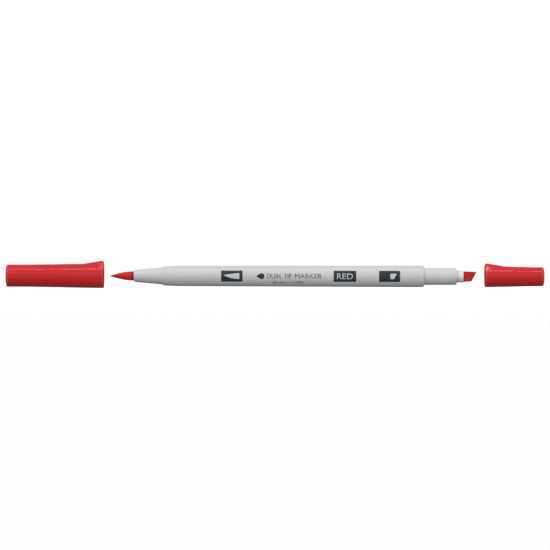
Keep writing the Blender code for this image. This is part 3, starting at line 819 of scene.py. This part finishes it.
def egg_radius(turn, radius, tip_radius, reach):
    """Distance from the axis to the hull of the cap's circle and the lug's, at a turn from the top."""
    if reach <= radius - tip_radius:
        return radius
    flank = math.acos((radius - tip_radius) / reach)
    tip_end = math.atan2(tip_radius * math.sin(flank), reach + tip_radius * math.cos(flank))
    if turn < tip_end:
        return reach * math.cos(turn) + math.sqrt(tip_radius**2 - (reach * math.sin(turn)) ** 2)
    if turn < flank:
        return radius / math.cos(turn - flank)
    return radius


def faceted_radius(angle, radius, cut):
    """The radius where flat facets are cut into a circle. The cut goes from 0, round, to 1, full facets.

    A narrow land of the circle stays between the facets."""
    width = 2 * math.pi / FACETS
    from_middle = (angle + width / 2) % width - width / 2
    full_depth = 1 - math.cos(width / 2 * (1 - FACET_LAND))
    flat = radius * (1 - full_depth * cut)
    return min(radius, flat / math.cos(from_middle))


def cap_ring(cap, length, mouth, depth, inset):
    """One outer section of a cap at a depth from its mouth, drawn in by an inset."""
    radius = cap_radius(cap, length, depth)
    reach = radius + lug_rise(cap, depth) - cap["lug_radius"]
    cut = min(1.0, max(0.0, (depth - cap["plain"]) / FACET_FADE))
    ring = []
    for angle in cap_angles():
        turn = min(angle, 2 * math.pi - angle)
        round_out = egg_radius(turn, radius - inset, cap["lug_radius"] - inset, reach)
        out = min(round_out, faceted_radius(angle, radius, cut) - inset) if cut else round_out
        ring.append((mouth + cap["side"] * depth, out * math.sin(angle), AXIS_Z + out * math.cos(angle)))
    return ring


def make_cap_shell(cap, material):
    """A cap's shell: its closed end, its faceted outside, its mouth with the lug, and its bore."""
    low, high = span(cap["shell"])
    mouth = high if cap["side"] < 0 else low
    length = high - low
    steps = FACETS * STEPS_PER_FACET
    side = cap["side"]
    rings = [circle(mouth + side * length, 0.0), circle(mouth + side * length, END_FLAT_RADIUS, steps)]
    middle = lerp(END_FLAT_RADIUS, cap["end_radius"] - END_EDGE, END_DOME_SHARE)
    rings.append(circle(mouth + side * (length - END_DOME_DROP * END_DOME), middle, steps))
    for angle in reversed(quarter(EDGE_STEPS)):
        depth = length - END_DOME - END_EDGE * (1 - math.sin(angle))
        rings.append(cap_ring(cap, length, mouth, depth, END_EDGE * (1 - math.cos(angle))))
    bends = [length - cap["straight"], cap["lug_length"], cap["plain"], cap["plain"] + FACET_FADE]
    depths = [LUG_PEAK, length - END_DOME - END_EDGE - BEND_HOLD]
    depths += [bend + hold for bend in bends for hold in (-BEND_HOLD, BEND_HOLD)]
    depths.append(length - cap["straight"])
    depths += [cap["plain"] + FACET_FADE * i / FADE_STEPS for i in range(FADE_STEPS + 1)]
    depths += [lerp(LUG_PEAK, cap["lug_length"], (i + 1) / LUG_STEPS) for i in range(LUG_STEPS)]
    rings += [cap_ring(cap, length, mouth, depth, 0.0) for depth in sorted(depths, reverse=True)]
    rings.append(cap_ring(cap, length, mouth, (LUG_PEAK + MOUTH_EDGE) / 2, 0.0))
    for angle in quarter(EDGE_STEPS):
        depth = MOUTH_EDGE * (1 - math.sin(angle))
        rings.append(cap_ring(cap, length, mouth, depth, MOUTH_EDGE * (1 - math.cos(angle))))
    inner = [
        (0.0, cap["mouth_bore"] + FINE_EDGE),
        (FINE_EDGE, cap["mouth_bore"]),
        (cap["step_depth"], cap["inner_bore"]),
        (cap["step_depth"], cap["liner_bore"]),
        (length - END_WALL, cap["liner_bore"]),
    ]
    rings += [circle(mouth + side * depth, radius, steps) for depth, radius in inner]
    rings.append(circle(mouth + side * (length - END_WALL), 0.0))
    obj = skinned(cap["body"] + "_moulding", rings)
    return placed(obj, cap["body"], "cap_plastic", material, cap["shell"])


def make_cap_liner(cap, material):
    """The soft inner cup that seals a cap, with a rounded lip."""
    low, high = span(cap["liner"])
    start, end = (high, low) if cap["side"] < 0 else (low, high)
    wall = cap["side"] * cap["liner_wall"]
    radius = cap["liner_radius"]
    bore = radius - cap["liner_wall"]
    outline = [
        (end, 0.0, 0),
        (end, radius, 4 * FINE_EDGE),
        (start, radius, 3 * FINE_EDGE),
        (start, bore, 3 * FINE_EDGE),
        (end - wall, bore, 4 * FINE_EDGE),
        (end - wall, 0.0, 0),
    ]
    obj = turned(cap["body"] + "_seal", outline, False)
    return placed(obj, cap["body"], "liner_plastic", material, cap["liner"])


# ---------------------------------------------------------------- print


def flat_shape(corners):
    """A flat shape from its outline of (along, up) corners, in millimetres."""
    build = bmesh.new()
    build.faces.new([build.verts.new((along, up, 0.0)) for along, up in corners])
    return build


def flat_text(words, height, along, up, width):
    """Lettering as a flat shape of a given width, centred at up, from a left end. All in millimetres."""
    curve = bpy.data.curves.new(words, "FONT")
    curve.body = words
    curve.size = height / CAPITAL_SHARE
    curve.resolution_u = TEXT_CURVE_STEPS
    obj = bpy.data.objects.new(words, curve)
    bpy.context.scene.collection.objects.link(obj)
    graph = bpy.context.evaluated_depsgraph_get()
    mesh = bpy.data.meshes.new_from_object(obj.evaluated_get(graph))
    build = bmesh.new()
    build.from_mesh(mesh)
    bpy.data.objects.remove(obj)
    bpy.data.curves.remove(curve)
    bpy.data.meshes.remove(mesh)
    xs = [v.co.x for v in build.verts]
    ys = [v.co.y for v in build.verts]
    stretch = width / (max(xs) - min(xs))
    middle = (max(ys) + min(ys)) / 2
    for v in build.verts:
        v.co = Vector((along + (v.co.x - min(xs)) * stretch, up + v.co.y - middle, 0.0))
    return build


def printed(name, build, material, lift=0.0):
    """Wraps a flat shape, drawn in millimetres, round the barrel as a thin closed layer of ink."""
    start, end = span("barrel")
    bmesh.ops.remove_doubles(build, verts=build.verts, dist=WELD_REACH)
    highest = max(abs(v.co.y) for v in build.verts)
    cuts = int(highest * MM / PRINT_BEND) + 1
    for i in range(-cuts, cuts + 1):
        geometry = build.verts[:] + build.edges[:] + build.faces[:]
        level = Vector((0.0, i * PRINT_BEND / MM, 0.0))
        bmesh.ops.bisect_plane(build, geom=geometry, dist=CUT_REACH, plane_co=level, plane_no=(0, 1, 0))
    bmesh.ops.triangulate(build, faces=build.faces)
    bmesh.ops.recalc_face_normals(build, faces=build.faces)
    faces = build.faces[:]
    bottom = bmesh.ops.duplicate(build, geom=build.verts[:] + build.edges[:] + faces)
    copies = bottom["vert_map"]
    low = {item for item in bottom["geom"] if isinstance(item, bmesh.types.BMVert)}
    rim = [edge for face in faces for edge in face.edges if len(edge.link_faces) == 1]
    for edge in rim:
        first, second = edge.verts
        build.faces.new((first, second, copies[second], copies[first]))
    for v in build.verts:
        along = start + v.co.x * MM
        surface = barrel_radius((along - start) / (end - start))
        radius = surface + lift + (PRINT_PROUD - PRINT_DEPTH if v in low else PRINT_PROUD)
        turn = v.co.y * MM / surface
        v.co = Vector((along, -radius * math.cos(turn), AXIS_Z + radius * math.sin(turn)))
    return placed(finished(name, build), "pen", "body_plastic", material)


def merged(*builds):
    """Several flat shapes as one."""
    whole = bmesh.new()
    for build in builds:
        mesh = bpy.data.meshes.new("part of the print")
        build.to_mesh(mesh)
        build.free()
        whole.from_mesh(mesh)
        bpy.data.meshes.remove(mesh)
    return whole


def rounded_box(left, right, bottom, top, corner):
    """Corners of a rectangle with rounded corners, anticlockwise."""
    points = []
    centres = ((right - corner, top - corner), (left + corner, top - corner))
    centres += ((left + corner, bottom + corner), (right - corner, bottom + corner))
    for i, (x, y) in enumerate(centres):
        for angle in quarter(FILLET_STEPS):
            turn = angle + i * math.pi / 2
            points.append((x + corner * math.cos(turn), y + corner * math.sin(turn)))
    return points


def drop_shape(left, right, half_height):
    """An ink drop that lies on its side, with its point to the left."""
    points = []
    for i in range(DROP_STEPS):
        turn = 2 * math.pi * i / DROP_STEPS
        along = (1 + math.cos(turn)) / 2
        swell = half_height * math.sin(turn) * math.sin(math.pi / 2 * along) * DROP_FULLNESS
        points.append((lerp(left, right, along), swell))
    return points


def print_block(name, block, material):
    """A solid block of ink with rounded corners."""
    left, right, corner = block
    outline = rounded_box(left, right, -BLOCK_HALF_HEIGHT, BLOCK_HALF_HEIGHT, corner)
    printed(name, flat_shape(outline), material)


def make_print(ink, light):
    """Generic print: a mark for each tip, a drop, plain words and the colour's name in a dark box."""
    print_block("print_brush_block", BRUSH_BLOCK, ink)
    printed("print_brush_mark", flat_shape(BRUSH_MARK_TOP + BRUSH_MARK_BOTTOM), light, PRINT_PROUD)
    printed("print_drop", flat_shape(drop_shape(*DROP_ENDS, DROP_HALF_HEIGHT)), ink)
    printed("print_words", merged(*[flat_text(*words) for words in WORDS]), ink)
    print_block("print_colour_box", COLOUR_BLOCK, ink)
    printed("print_colour_name", flat_text(*COLOUR_NAME), light, PRINT_PROUD)
    print_block("print_chisel_block", CHISEL_BLOCK, ink)
    printed("print_chisel_mark", flat_shape(CHISEL_MARK), light, PRINT_PROUD)


# ---------------------------------------------------------------- stage


def make_floor():
    """A pale floor at the lowest point of the pen. It lights nothing and doesn't show in the gloss."""
    build = bmesh.new()
    bmesh.ops.create_grid(build, x_segments=FLOOR_SQUARES, y_segments=FLOOR_SQUARES, size=FLOOR_HALF)
    mesh = bpy.data.meshes.new("floor")
    build.to_mesh(mesh)
    build.free()
    floor = bpy.data.objects.new("floor", mesh)
    bpy.context.scene.collection.objects.link(floor)
    recipe = Recipe("pale floor")
    recipe.set(Base_Color=FLOOR_COLOUR, Roughness=0.9, Specular_IOR_Level=0.0)
    recipe.set(Emission_Color=WHITE, Emission_Strength=FLOOR_LIFT)
    floor.data.materials.append(recipe.material)
    floor.visible_diffuse = False
    floor.visible_glossy = False
    floor.location.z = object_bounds()[0].z


def sky_colour(nodes, links, height, low, high):
    """Light that changes softly from one colour below the horizon to another above it."""
    ramp = nodes.new("ShaderNodeValToRGB")
    links.new(height, ramp.inputs["Fac"])
    stops = ramp.color_ramp.elements
    stops[0].position, stops[0].color = 0.5 - SKY_BLEND, (*low, 1.0)
    stops[1].position, stops[1].color = 0.5 + SKY_BLEND, (*high, 1.0)
    sky = nodes.new("ShaderNodeBackground")
    links.new(ramp.outputs["Color"], sky.inputs["Color"])
    return sky.outputs[0]


def make_sky():
    """White to the camera. The object sees a studio, bright above and dim below, and mirrors a dimmer one."""
    world = bpy.data.worlds.new("studio")
    bpy.context.scene.world = world
    world.use_nodes = True
    nodes, links = world.node_tree.nodes, world.node_tree.links
    nodes.clear()
    place = nodes.new("ShaderNodeTexCoord")
    parts = nodes.new("ShaderNodeSeparateXYZ")
    links.new(place.outputs["Generated"], parts.inputs[0])
    height = nodes.new("ShaderNodeMapRange")
    links.new(parts.outputs["Z"], height.inputs["Value"])
    height.inputs["From Min"].default_value = -1.0
    shining = sky_colour(nodes, links, height.outputs["Result"], SKY_BELOW, SKY_ABOVE)
    mirrored = sky_colour(nodes, links, height.outputs["Result"], MIRROR_BELOW, MIRROR_ABOVE)
    plain = nodes.new("ShaderNodeBackground")
    plain.inputs["Color"].default_value = (*WHITE, 1.0)
    path = nodes.new("ShaderNodeLightPath")
    seen = shining
    for kind, sky in (("Is Glossy Ray", mirrored), ("Is Camera Ray", plain.outputs[0])):
        mix = nodes.new("ShaderNodeMixShader")
        links.new(path.outputs[kind], mix.inputs["Fac"])
        links.new(seen, mix.inputs[1])
        links.new(sky, mix.inputs[2])
        seen = mix.outputs[0]
    out = nodes.new("ShaderNodeOutputWorld")
    links.new(seen, out.inputs["Surface"])


def make_lamp(name, elevation, distance, size, power):
    """A soft area light on the camera's side that faces the middle of the pen."""
    data = bpy.data.lights.new(name, "AREA")
    data.shape = "RECTANGLE"
    data.size, data.size_y = size
    data.energy = power
    lamp = bpy.data.objects.new(name, data)
    bpy.context.scene.collection.objects.link(lamp)
    aim = Vector((0.0, -math.cos(elevation), math.sin(elevation)))
    lamp.location = Vector((0.0, 0.0, AXIS_Z)) + aim * distance
    lamp.rotation_mode = "QUATERNION"
    lamp.rotation_quaternion = aim.to_track_quat("Z", "Y")
    return lamp


def make_camera():
    """A camera on the printed side of the pen, level with it."""
    data = bpy.data.cameras.new("camera")
    data.sensor_width = SENSOR_WIDTH
    data.lens = SENSOR_WIDTH * CAMERA_DISTANCE / PICTURE_WIDTH
    data.clip_start, data.clip_end = CAMERA_CLIP
    camera = bpy.data.objects.new("camera", data)
    bpy.context.scene.collection.objects.link(camera)
    camera.location = (0.0, -CAMERA_DISTANCE, AXIS_Z + CAMERA_ABOVE_AXIS)
    camera.rotation_mode = "QUATERNION"
    level = Vector((0.0, 1.0, 0.0)).to_track_quat("-Z", "Y")
    camera.rotation_quaternion = level @ Matrix.Rotation(CAMERA_ROLL, 3, "Z").to_quaternion()
    bpy.context.scene.camera = camera
    bpy.context.scene.view_settings.view_transform = "Standard"


# ---------------------------------------------------------------- the model


def body_plastic(part, lines):
    """Grey plastic for one piece of the pen's body, with its own paler lines."""
    name = "grey moulded plastic, " + part
    return moulded_plastic(name, GREY, GREY_SHADE, BODY_ROUGHNESS, BODY_SCUFFS, lines)


def pale_line_in_from_rim(rim, inward, line):
    """A paler line a little way in from a rim."""
    inset, half_width, strength = line
    return rim + inward * inset, half_width, strength


def make_body():
    """Barrel, nose and collar."""
    barrel_end = span("barrel")[1]
    make_barrel(body_plastic("barrel", [pale_line_in_from_rim(barrel_end, -1, BARREL_LINE)]))
    # The paler lines on the nose and the collar are painted highlights on the shoulder, ridge tops, bead and
    # edges
    make_brush_nose(body_plastic("nose", nose_lines(span("brush_nose")[0])))
    make_chisel_collar(body_plastic("collar", collar_lines(barrel_end)))


def make_tips():
    """Both nibs and their holders."""
    front = span("brush_nib_holder")[0]
    make_brush_holder(stained_plastic("pale plastic at the brush", PALE, STAIN, front, BRUSH_CREEP))
    front = span("chisel_nib_holder")[1]
    make_chisel_holder(stained_plastic("pale plastic at the chisel", PALE, STAIN, front, CHISEL_CREEP))
    tip = span("brush_nib")[0]
    # Painted shade at the brush nib's root, where it meets its holder, and a darker band at its tip
    dark_bands = (tip + BRUSH_LENGTH, BRUSH_ROOT_SHADE, tip, BRUSH_TIP_DARK)
    make_brush_nib(inked_fibre("brush fibre", INK, DARK_INK_AND_SHADE, *dark_bands))
    tip = span("chisel_nib")[1]
    root = tip - CHISEL_LENGTH
    lean = (CHISEL_LENGTH - CHISEL_SHORT_SIDE) / CHISEL_TIP_HEIGHT
    face = (tip + root + CHISEL_SHORT_SIDE) / 2
    # Painted shade along the chisel nib's top and bottom edges beyond this rim, and at its root where it
    # meets its holder
    rim = CHISEL_TIP_HEIGHT / 2 - RIM_FADE
    dark_bands = (root, CHISEL_ROOT_SHADE, face, CHISEL_TIP_DARK)
    make_chisel_nib(inked_fibre("chisel fibre", INK, DARK_INK_AND_SHADE, *dark_bands, lean, rim))


def make_caps():
    """Both caps, each with its shell and its inner cup."""
    white = soft_plastic("white soft plastic", SEAL_WHITE)
    for cap in (BRUSH_CAP, CHISEL_CAP):
        low, high = span(cap["shell"])
        mouth, end = (high, low) if cap["side"] < 0 else (low, high)
        # Painted highlight lines a little way in from the mouth and from the closed end
        lines = [pale_line_in_from_rim(mouth, cap["side"], MOUTH_HIGHLIGHT_LINE), pale_line_in_from_rim(end, -cap["side"], END_HIGHLIGHT_LINE)]
        name = "red moulded plastic " + cap["body"]
        make_cap_shell(cap, moulded_plastic(name, RED, RED_SHADE, CAP_ROUGHNESS, CAP_SCUFFS, lines))
        make_cap_liner(cap, white)


def finish_hidden_pieces():
    """The reservoir and its wrap keep their CAD shapes and get better materials."""
    soaked = inked_fibre("reservoir fibre", INK, DARK_INK_AND_SHADE, 0.0, FINE_EDGE, 0.0, FINE_EDGE)
    film = wrap_film("wrap film", FILM_WHITE)
    for node, slot, material in (
        ("ink_reservoir", "reservoir_fibre", soaked),
        ("reservoir_wrap", "wrap_film", film),
    ):
        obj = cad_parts[node]
        obj.data.materials.clear()
        obj.data.materials.append(material)


make_body()
make_tips()
make_caps()
finish_hidden_pieces()
make_print(printed_ink("dark print", DARK_PRINT), printed_ink("light print", LIGHT_PRINT))
make_floor()
make_sky()
key = make_lamp("key", KEY_ELEVATION, KEY_DISTANCE, KEY_SIZE, KEY_POWER)
key.visible_glossy = False
make_lamp("strip", STRIP_ELEVATION, STRIP_DISTANCE, STRIP_SIZE, STRIP_POWER)
make_camera()
